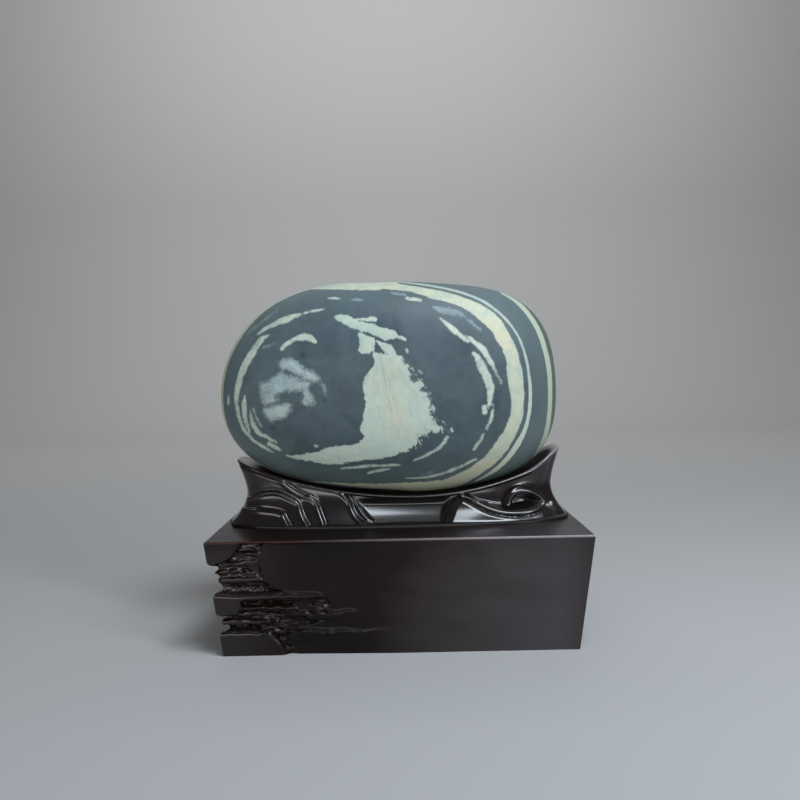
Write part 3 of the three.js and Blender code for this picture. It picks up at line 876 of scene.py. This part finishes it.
innerLine = [(-74.6, 32.2), (-71.4, 27), (-66.1, 23), (-58.4, 20.2)]
poolLine = [(-33, 21.7), (-29.6, 15.6), (-26.3, 9.6), (-22, 5.4), (-17, 3)]
loopHollow = [(76.6, 10), (76.4, 16), (79.5, 18.8), (83.4, 19.8), (88, 19.2), (92.6, 17.6),
              (96.4, 15), (98, 12), (95.4, 10.2), (89, 8.8), (82, 8.4)]
# The pool's two sides, from below the foot to above the rim.
poolLeft = [(-12, -30), (-16, -4), (-22.8, 4.9), (-28.7, 12), (-33, 20), (-48, 45)]
poolRight = [(30, -30), (30.4, -4), (32.6, 8.6), (35.5, 14.2), (39, 17.6), (46, 19), (70, 45)]
# A small flat cut into the right end: how much deeper it gets per millimetre up and to the left,
# the corner it starts from, and its outline.
flatLean = (0.25, 0.40)
flatCorner = (112.5, 2.0)
flatOutline = [(101.8, 12.4), (110.8, 11.6), (112.6, 7), (110.6, 2.2), (105.6, 5.6)]
carving = {
    "ground": -2.0,  # the plain face lies this far in
    "leafStep": 1.2,
    "leafSwell": 3.4,
    "leafFall": 0.026,  # below leafFoot it falls back with the square of the distance
    "leafFoot": 9,
    "poolDepth": 2.2,
    "poolBowl": 1.3,  # how much deeper its middle is
    "poolTop": (12, 19),
    "hollowDepth": 4.2,
    "loopRadius": (1.6, 2.6),  # of the loop's thread, from its start to its curl
}


def sheetEdge(inside, rise):
    # a step with a rounded bead along its edge and a groove at its foot
    step = rise * smoothStep(inside, -0.4, 0.5)
    return step + 0.5 * rise * bump(inside - 1.4, 1.3) - 0.25 * rise * bump(inside + 0.9, 0.8)


def thread(place, line, radius, lift):
    # a half-round thread along a line, that dies out at both ends
    path = rounded(line)
    beside, along = lineDistance(place, path)
    fade = smoothStep(along, 0, 2) * smoothStep(len(path) - 1 - along, 0, 2)
    return lift * fade * np.clip(1 - (beside / radius) ** 2, 0, 1)


def seatCarving(x, height):
    # how far the carved face stands out: the sum of its sheets, less the pool and the hollow
    place = np.stack([x, height], axis=-1)
    out = np.full(x.shape, carving["ground"])
    for rise, outline in terraces:
        out += sheetEdge(insideDistance(place, rounded(outline, closed=True)), rise)
    # the leaf swells from its upper edge, so that its shoulder looks up
    leaf = insideDistance(place, rounded(leafOutline, closed=True))
    out += carving["leafStep"] * smoothStep(leaf, -0.6, 0.8)
    out += carving["leafSwell"] * smoothStep(leaf, 0.2, 5.0)
    below = np.maximum(0, carving["leafFoot"] - height)
    out -= carving["leafFall"] * below**2 * smoothStep(leaf, 0, 3)
    # the pool is a shallow bowl between its sides, up to the lip
    left, right = [np.interp(height, *np.array(side)[:, ::-1].T) for side in (poolLeft, poolRight)]
    across = np.clip(2 * (x - left) / (right - left) - 1, -1, 1)
    sides = smoothStep(x - left, -0.6, 5) * smoothStep(right - x, -0.4, 4)
    bowl = carving["poolDepth"] + carving["poolBowl"] * (1 - across**2)
    out -= bowl * sides * (1 - smoothStep(height, *carving["poolTop"]))
    hollow = insideDistance(place, rounded(loopHollow, closed=True))
    out -= carving["hollowDepth"] * smoothStep(hollow, -0.8, 2.0)
    beside, along = lineDistance(place, rounded(loopLine))
    radius = mixed(*carving["loopRadius"], smoothStep(along, 8, 34))
    crest = 2.4 + 0.6 * smoothStep(along, 8, 30)
    out = np.maximum(out, crest - 0.9 * radius * (beside / radius) ** 2)
    out += thread(place, ridgeLine, 0.9, 0.8) + thread(place, hoodLine, 1.1, 0.9)
    out += thread(place, innerLine, 0.9, 0.7) + thread(place, poolLine, 1.0, 0.9)
    flat = flatLean[0] * (height - flatCorner[1]) + flatLean[1] * (flatCorner[0] - x)
    out -= flat * smoothStep(insideDistance(place, flatOutline), -0.3, 0.3)
    # the low fillet that runs above the foot
    out += 0.8 * bump(height - 1.2, 1.1) * smoothStep(x, 28, 34)
    return out


def rimHeight(x):
    # lowest height + rise times the distance squared, and a lift towards the right horn
    away = x - seat["rimLowX"]
    left, right = seat["rimRise"]
    bow = np.where(away < 0, left, right) * away**2
    return seat["rimLowHeight"] + bow + seat["hornLift"] * smoothStep(x, *seat["horn"])


def seatPlan(turn, halfWidth, halfDepth):
    # a squared-off oval seen from above, and the direction it faces
    power = seat["planPower"]
    size = (np.abs(np.cos(turn)) ** power + np.abs(np.sin(turn)) ** power) ** (-1 / power)
    x, y = np.cos(turn) * size, np.sin(turn) * size
    facingX = np.sign(x) * np.abs(x) ** (power - 1) / halfWidth
    facingY = np.sign(y) * np.abs(y) ** (power - 1) / halfDepth
    length = np.hypot(facingX, facingY)
    return x * halfWidth, y * halfDepth, facingX / length, facingY / length


def stoneUnderside(x, y, grow):
    # height of the enlarged stone's underside over a place, by halving the interval that holds it
    centreX, centreZ = stone["centre"]
    power = stone["profilePower"]
    low = np.full(x.shape, centreZ - 100.0)
    high = np.full(x.shape, centreZ)
    for _ in range(26):
        middle = (low + high) / 2
        angle = np.arctan2(middle - centreZ, x - centreX)
        radius = np.hypot(middle - centreZ, x - centreX)
        oval, outline = ovalRadius(angle), outlineRadius(angle)
        across = radius / (outline + grow)
        for _ in range(4):
            across = radius / (mixed(oval, outline, np.clip(across, 0, 1.3) ** 3) + grow)
        outside = across**power + (np.abs(y) / (stone["halfDepth"] + grow)) ** power > 1
        low = np.where(outside, middle, low)
        high = np.where(outside, high, middle)
    return low


def makeSeat():
    # rings from the middle of the dish out over the lip, down the carved wall and under the foot
    base = plinth["height"]
    even = np.linspace(0, 2 * math.pi, seat["columns"], endpoint=False)
    turn = np.arctan2(seat["columnCrowding"] * np.sin(even), np.cos(even))
    halfTop = (seat["waistHalfWidth"] + seat["hornFlare"], seat["rimHalfDepth"])
    rimX, rimY, outX, outY = seatPlan(turn, *halfTop)
    grow = seat["besideStone"]
    rise = grow - seat["underStone"]

    def lipHeight(x, share):
        # share is 1 at the rim and 0 in the middle
        return base + rimHeight(x) - seat["lipDrop"] * smoothStep(1 - share, 0, 0.1)

    # how far towards the middle the lip reaches, before the dish falls away
    near, far = np.zeros_like(turn), np.ones_like(turn)
    for _ in range(14):
        middle = (near + far) / 2
        x, y = rimX * middle, rimY * middle
        level = stoneUnderside(x, y, grow) + rise > lipHeight(x, middle)
        far = np.where(level, middle, far)
        near = np.where(level, near, middle)
    inner = near

    rings, wearAndHighlight, dull = [], [], []

    def addRing(x, y, z, wornAndLit=0.0, unpolished=0.0):
        rings.append(np.stack([x, y, z + 0 * x], axis=-1))
        wearAndHighlight.append(wornAndLit + 0 * x)
        dull.append(unpolished + 0 * x)

    for share in np.linspace(0, 1, seat["dishRows"]):
        x, y = rimX * inner * share, rimY * inner * share
        height = np.minimum(lipHeight(x, inner * share), stoneUnderside(x, y, grow) + rise)
        addRing(x, y, height, unpolished=1.0)
    roundness = seat["rimRound"]
    for share in np.linspace(0, 1, seat["lipRows"])[1:-1]:
        reach = mixed(inner, 1.0, share)
        x, y = rimX * reach, rimY * reach
        addRing(x, y, lipHeight(x, reach), unpolished=smoothStep(x, *seat["glossyTip"]))
    # the rolled rim edge carries a painted highlight that grows towards the right
    for bend in np.linspace(0, 90, seat["edgeRows"])[:-1]:
        inset = roundness * (1 - math.sin(math.radians(bend)))
        drop = roundness * (1 - math.cos(math.radians(bend)))
        x, y = rimX - inset * outX, rimY - inset * outY
        addRing(x, y, base + rimHeight(rimX) - drop, mixed(0.05, 1.0, smoothStep(x, 0, 60)))
    for row in np.linspace(1, 0, seat["wallRows"]):
        share = np.full_like(turn, row)
        low = np.maximum(0, 1 - share / 0.5) ** 2
        high = np.maximum(0, (share - 0.5) / 0.5) ** 1.6
        halfWidth = seat["waistHalfWidth"] + seat["footFlare"] * low + seat["hornFlare"] * high
        halfDepth = mixed(seat["rimHalfDepth"], seat["wallHalfDepth"], (1 - share) ** 1.7)
        x, y, facingX, facingY = seatPlan(turn, halfWidth, halfDepth)
        height = mixed(seat["footHeight"], rimHeight(x) - roundness, share)
        seen = smoothStep(np.abs(facingY), 0.3, 0.75) * (1 - smoothStep(share, 0.93, 1))
        out = seatCarving(np.where(y < 0, x, -x), height) * seen
        addRing(x + out * facingX, y + out * facingY, base + height)
    for inset, height in ((0.7, 2.0), (0.2, 1.8), (0.0, 1.3), (0.0, 0.0)):
        x, y, _, _ = seatPlan(turn, seat["footHalfWidth"] - inset, seat["footHalfDepth"] - inset)
        addRing(x, y, np.full_like(x, base + height), unpolished=0.8)
    addRing(0 * rimX, 0 * rimY, np.full_like(rimX, base))
    wornAndLit = {"wearAndHighlight": np.array(wearAndHighlight), "dull": np.array(dull)}
    return ringMesh("carvedSeat", np.array(rings), wornAndLit)


# Carving of the plinth, in X and Z on its front face.
cliffs = [(-97, 90), (-81, 90), (-84.7, 60.7), (-83, 51.1), (-80, 44.6), (-60, 43), (-46, 38),
          (-42, 29), (-46, 22), (-60, 18), (-68, 10), (-64, -9), (-140, -9), (-140, 72)]
slabs = [
    [(-140, 90), (-140, 59.7), (-112.1, 59.6), (-100.5, 73.1), (-97, 77), (-97, 90)],
    [(-140, 42.4), (-117, 42.7), (-101.9, 41), (-82.8, 42), (-63.8, 41.6), (-50.5, 41.7),
     (-48.1, 36.8), (-64, 36.2), (-83, 36), (-103, 36.4), (-101.5, 33.4), (-104, 27.5), (-110, 26),
     (-140, 26)],
    [(-140, 16.6), (-110.8, 16.9), (-84.8, 16.4), (-76.1, 7.2), (-71, -9), (-140, -9)],
]
ledges = [
    (3.6, [(-106, 68.6), (-88, 68), (-88, 66), (-108, 66.4)]),
    (4.2, [(-113, 61.8), (-89, 62.6), (-90, 60), (-112, 59)]),
    (3.4, [(-140, 56.4), (-99, 57), (-98, 54.2), (-140, 54)]),
    (4.2, [(-140, 50.6), (-88, 51.6), (-87, 48.4), (-140, 48)]),
    (2.4, [(-104, 32.8), (-67, 32.4), (-66, 29.4), (-104, 30)]),
    (2.4, [(-140, 23.8), (-79, 23.6), (-78, 20.4), (-140, 20.8)]),
    (0.6, [(-61.2, 28.3), (-57.2, 26.9), (-49.9, 28.1), (-42, 26.6), (-32.1, 27.7), (-38, 24),
           (-60, 23.4)]),
    (0.6, [(-76, 14.2), (-58.1, 15.5), (-49.9, 13.7), (-35.9, 14.7), (-18.8, 12.4), (-30, 10.6),
           (-60, 10.4), (-72, 9.6)]),
]
# The lips that stand out along the lower cliffs: a wavy one, and one under it that fades out.
wavyLip = [(-75, 29), (-68, 27.2), (-61, 27.2), (-56.5, 25.8), (-52, 28.2), (-48.6, 31),
           (-46, 28.6), (-42.5, 26.2), (-37.5, 27.4), (-32, 28.2), (-26, 27.6)]
fadingLip = [(-92, 16), (-80, 15.2), (-70, 15.6), (-58, 15.4), (-48, 14.4), (-36, 15), (-24, 13),
             (-14, 14.6), (-6, 14.2)]


def plinthCut(x, z):
    # how far the face is cut back: the deeper of cliffs and sloping ground, less what stands out
    place = np.stack([x, z], axis=-1)
    underEdge = smoothStep(plinth["height"] - z, plinth["groundEdge"] - 1, plinth["groundEdge"] + 1)
    leftwards = np.clip((plinth["groundEnd"] - x) / plinth["groundLength"], 0, 1)
    ground = plinth["groundDepth"] * leftwards * underEdge
    slope = mixed(*plinth["cliffSlope"], smoothStep(z, *plinth["cliffBreak"]))
    cliff = smoothStep(insideDistance(place, cliffs) / slope, -0.3, 1)
    courses = z / plinth["course"]
    row = np.floor(courses)
    brick = grainNoise(x / plinth["brickLength"] + 0.37 * row, row + 0.5, 5)
    fromMiddle = courses - row - 0.5
    joint = bump((fromMiddle + np.sign(fromMiddle) * -0.5) * plinth["course"], 0.9)
    rough = grainNoise(x / 7, z / 2.6, 3) * 0.5 + grainNoise(x / 2.4, z / 2.0, 4) * 0.55
    shallow = smoothStep(x, -98, -62) * (1 - smoothStep(z, 40, 46))
    deep = plinth["cliffDepth"] * mixed(1, 0.45, shallow)
    cut = np.maximum(ground, cliff * (deep - 0.9 + rough + 1.1 * brick + 0.7 * joint))
    for behind, outline in ledges:
        edge = insideDistance(place, rounded(outline, closed=True, times=1))
        edge = edge + 0.7 * grainNoise(x / 4, z / 3, 6)
        stood = np.minimum(cut, behind * deep / plinth["cliffDepth"] + 0.5 * rough)
        cut = mixed(cut, stood, smoothStep(edge, -0.9, 0.7))
    for outline in slabs:
        edge = insideDistance(place, rounded(outline, closed=True))
        edge = edge + 0.4 * grainNoise(x / 5, z / 4, 7)
        cut = mixed(cut, 1.6 * bump(np.maximum(edge, 0), 1.6), smoothStep(edge, -0.7, 0.5))
    for lip in (wavyLip, fadingLip):
        path = rounded(lip)
        beside, along = lineDistance(place, path)
        fade = smoothStep(along, 0, 3) * smoothStep(len(path) - 1 - along, 0, 9)
        uneven = 1 + 0.5 * grainNoise(x / 3, z / 3, 8)
        cut = cut - plinth["lipStand"] * fade * bump(beside, 1.7) * uneven
    return np.maximum(cut, 0)


def makePlinth():
    # rings of points round a rectangle, drawn in by the taper and cut back by the carving
    halfWidth, halfDepth = plinth["halfWidth"], plinth["halfDepth"]
    height, taper, edge = plinth["height"], plinth["taper"], plinth["edgeRound"]

    def places(*stops):
        # stops are value, count, value, count, value; the last value is left out
        parts = [
            np.linspace(stops[i], stops[i + 2], stops[i + 1], endpoint=False)
            for i in range(0, len(stops) - 2, 2)
        ]
        return np.concatenate(parts)

    front = places(-halfWidth, 170, -12.0, 50, halfWidth)
    right = places(-halfDepth, 16, halfDepth)
    back = places(halfWidth, 24, -halfWidth)
    left = places(halfDepth, 200, -halfDepth)
    xRight, xLeft = np.full_like(right, halfWidth), np.full_like(left, -halfWidth)
    yFront, yBack = np.full_like(front, -halfDepth), np.full_like(back, halfDepth)
    x = np.concatenate([front, xRight, back, xLeft])
    y = np.concatenate([yFront, right, yBack, left])
    side = np.repeat([0, 1, 2, 3], [len(front), len(right), len(back), len(left)])
    onFront = side == 0
    onLeft = (side == 3) | ((x == -halfWidth) & (y == -halfDepth))

    rings = [np.stack([0 * x, 0 * y, 0 * x + height], axis=-1)]
    wearAndHighlight = [0 * x]
    crown = [(edge * (1 - math.sin(math.radians(bend))), edge * (1 - math.cos(math.radians(bend))))
             for bend in np.linspace(0, 90, 6)]
    inner = [(40.0, 0.0), (12.0, 0.0), (3.0, 0.0)]
    levels = np.linspace(height - edge, 0, plinth["rows"])[1:]
    near = 6 * plinth["cliffDepth"]  # the corner's cut dies out over this length
    for inset, drop in inner + crown + [(0.0, height - level) for level in levels]:
        z = 0 * x + height - drop
        lean = taper * drop / height
        shrunkX = x * (halfWidth - lean - inset) / halfWidth
        shrunkY = y * (halfDepth - lean - inset) / halfDepth
        cornerCut = plinthCut(0 * x - halfWidth, z)
        shiftX = np.where(onFront, cornerCut * (1 - smoothStep(x, -halfWidth, near - halfWidth)), 0)
        shiftY = np.where(onLeft, cornerCut * (1 - smoothStep(y, -halfDepth, near - halfDepth)), 0)
        sideX = -halfWidth + (shrunkY + shiftY + halfDepth) / plinth["sideStretch"]
        fade = 1.0 if inset == 0 else 0.0
        cutX = np.where(onLeft & ~onFront, plinthCut(sideX, z), 0)
        cutY = np.where(onFront, plinthCut(shrunkX + shiftX, z), 0)
        shiftY = np.where(onFront, 0, shiftY)
        rings.append(np.stack(
            [shrunkX + fade * (shiftX + cutX), shrunkY + fade * (shiftY + cutY), z], axis=-1
        ))
        # the rounded top edge: red wear on the left, a painted highlight on the right
        wearAndHighlight.append(0 * x + (1.0 if 0 < drop <= edge else 0.0))
    rings.append(np.stack([0 * x, 0 * y, 0 * x], axis=-1))
    wearAndHighlight.append(0 * x)
    return ringMesh("carvedPlinth", np.array(rings), {"wearAndHighlight": np.array(wearAndHighlight)})


woodColours = {
    "shadow": (0.0034, 0.0025, 0.0024),
    "grain": (0.011, 0.0052, 0.0044),
    # painted sheen: a lighter grey that stands in for reflected light
    "greyed": (0.052, 0.050, 0.054),
    "rubbedLeft": (0.055, 0.015, 0.011),
    # painted highlight for the right-hand parts of the edges
    "paintedEdgeHighlight": (0.36, 0.33, 0.35),
}


def woodFinish(name, piece):
    # dark stained wood under lacquer, rubbed along its edges, with a painted highlight on the right
    # of its edges and a painted sheen low on the right
    tone = woodColours
    finish = Finish(name, Specular_IOR_Level=0.15, Coat_Roughness=0.16, Coat_IOR=1.55)
    across, _, upward = finish.parts(finish.place())
    grain = finish.noise(finish.place((0.12, 1.0, 1.0)), 260, 5, 0.6, 0.3)
    broad = finish.noise(finish.place((0.4, 1.0, 1.0)), 16, 4, 0.6)
    fine = finish.noise(finish.place(), 900, 3, 0.6)
    wornAndLit, dull = finish.attribute("wearAndHighlight"), finish.attribute("dull")
    dark = finish.mix((broad * 2.6 + 0.4).clamped(), tone["shadow"], piece["red"])
    colour = finish.mix((grain * 2.4 + 0.2).clamped() * 0.5, dark, tone["grain"])
    # painted sheen: low down on the right the colour turns a lighter grey, standing in for the
    # lacquer's reflection
    lowRight = (across * 7.0 - upward * 5.0 + broad * 1.2 + 0.28).clamped()
    greyed = lowRight * (3.4 - across * 24.0).clamped() * piece["paintedSheen"]
    colour = finish.mix(greyed, colour, tone["greyed"])
    # painted highlight: rubbed edges go from red wear on the left to a pale grey highlight on the
    # right
    alongEdge = (across * 5.0 + 0.35).clamped()
    edgeWearAndHighlight = finish.mix(alongEdge, tone["rubbedLeft"], tone["paintedEdgeHighlight"])
    colour = finish.mix(wornAndLit * (broad * 2.0 + 0.7).clamped() * 0.9, colour, edgeWearAndHighlight)
    finish.feed("Base Color", colour)
    finish.feed("Roughness", grain * 0.2 + broad * 0.2 + dull * 0.35 + 0.38)
    carved = (across * -30.0 - 2.2).clamped() * (7.7 - upward * 100.0).clamped()
    lacquer = (broad * 0.4 + carved * 0.6 + piece["gloss"]).clamped()
    finish.feed("Coat Weight", lacquer * (1.0 - dull))
    hand = finish.noise(finish.place(), 48, 2, 0.5)
    finish.relief(grain + fine * 0.4 + hand * 9.0, 0.00015, 0.3)
    return finish.material


carvedSeat = makeSeat()
carvedSeat.data.materials.append(woodFinish("seatWood", seat))
print("seat made:", len(carvedSeat.data.polygons), "faces")
carvedPlinth = makePlinth()
carvedPlinth.data.materials.append(woodFinish("plinthWood", plinth))
print("plinth made:", len(carvedPlinth.data.polygons), "faces")

for piece, node, slot in (
    (riverStone, "stone", "river_stone"),
    (carvedSeat, "seat", "dark_hardwood"),
    (carvedPlinth, "plinth", "dark_hardwood"),
):
    piece.data.shade_smooth()
    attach(piece, "root")
    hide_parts(node)
sharpFrom = 50  # degrees between faces
for piece in (carvedSeat, carvedPlinth):
    piece.data.set_sharp_from_angle(angle=math.radians(sharpFrom))

# The room and its lamps, in metres.
studio = {
    "halfWidth": 4.0,
    "front": -3.0,
    "back": 1.6,
    "wallHeight": 3.0,
    "bend": 0.8,
    "bendSteps": 24,
    "colour": (0.42, 0.42, 0.42),
    "worldColour": (0.55, 0.57, 0.60),
    "worldStrength": 0.18,
}
# Each lamp: where it stands, where it points, its size, watts and colour.
lamps = {
    "key": ((0.30, -0.48, 1.12), (0, 0, 0.12), (0.5, 0.4), 10, (0.82, 0.91, 1.0)),
    "window": ((0.62, -0.58, 0.62), (0.03, 0, 0.1), (0.16, 0.45), 3, (0.88, 0.94, 1.0)),
    "front": ((-0.6, -1.7, 0.27), (0, 0, 0.12), (2.4, 0.44), 12.5, (1.0, 0.99, 0.97)),
    "low": ((0.80, -0.90, 0.16), (0, 0, 0.06), (0.4, 0.24), 1, (0.97, 0.97, 1.0)),
    "wall": ((0.0, 1.0, 1.9), (0, 2.3, 0.9), (2.4, 0.6), 30, (1.0, 1.0, 1.0)),
}


def makeStage():
    # a floor that bends up into a wall: a profile of points carried across from side to side
    bend = np.linspace(0, math.pi / 2, studio["bendSteps"])
    radius, back = studio["bend"], studio["back"]
    y = np.concatenate([[studio["front"]], back + radius * np.sin(bend), [back + radius]])
    z = np.concatenate([[0], radius * (1 - np.cos(bend)), [studio["wallHeight"]]])
    left = np.stack([0 * y - studio["halfWidth"], y, z], axis=-1)
    right = left * np.array([-1, 1, 1])
    count = len(y)
    faces = [(i, i + count, i + count + 1, i + 1) for i in range(count - 1)]
    mesh = bpy.data.meshes.new("stage")
    mesh.from_pydata(np.concatenate([left, right]).tolist(), [], faces)
    mesh.shade_smooth()
    piece = bpy.data.objects.new("stage", mesh)
    bpy.context.scene.collection.objects.link(piece)
    finish = Finish("stageFinish", Roughness=0.9, Base_Color=(*studio["colour"], 1))
    mesh.materials.append(finish.material)
    piece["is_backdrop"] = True


def makeLight(name, place, aim, size, power, colour):
    data = bpy.data.lights.new(name, "AREA")
    data.shape = "RECTANGLE"
    data.size, data.size_y = size
    data.energy = power
    data.color = colour
    light = bpy.data.objects.new(name, data)
    turn = (Vector(aim) - Vector(place)).to_track_quat("-Z", "Y").to_matrix().to_4x4()
    light.matrix_world = Matrix.Translation(place) @ turn
    bpy.context.scene.collection.objects.link(light)


def makeStudio():
    makeStage()
    for name, settings in lamps.items():
        makeLight(name, *settings)
    world = bpy.data.worlds.new("studio")
    world.use_nodes = True
    background = world.node_tree.nodes["Background"].inputs
    background["Color"].default_value = (*studio["worldColour"], 1)
    background["Strength"].default_value = studio["worldStrength"]
    bpy.context.scene.world = world
    bpy.context.scene.view_settings.view_transform = "Standard"


makeStudio()
print("studio made")

visualBox = [list(corner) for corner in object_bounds()]
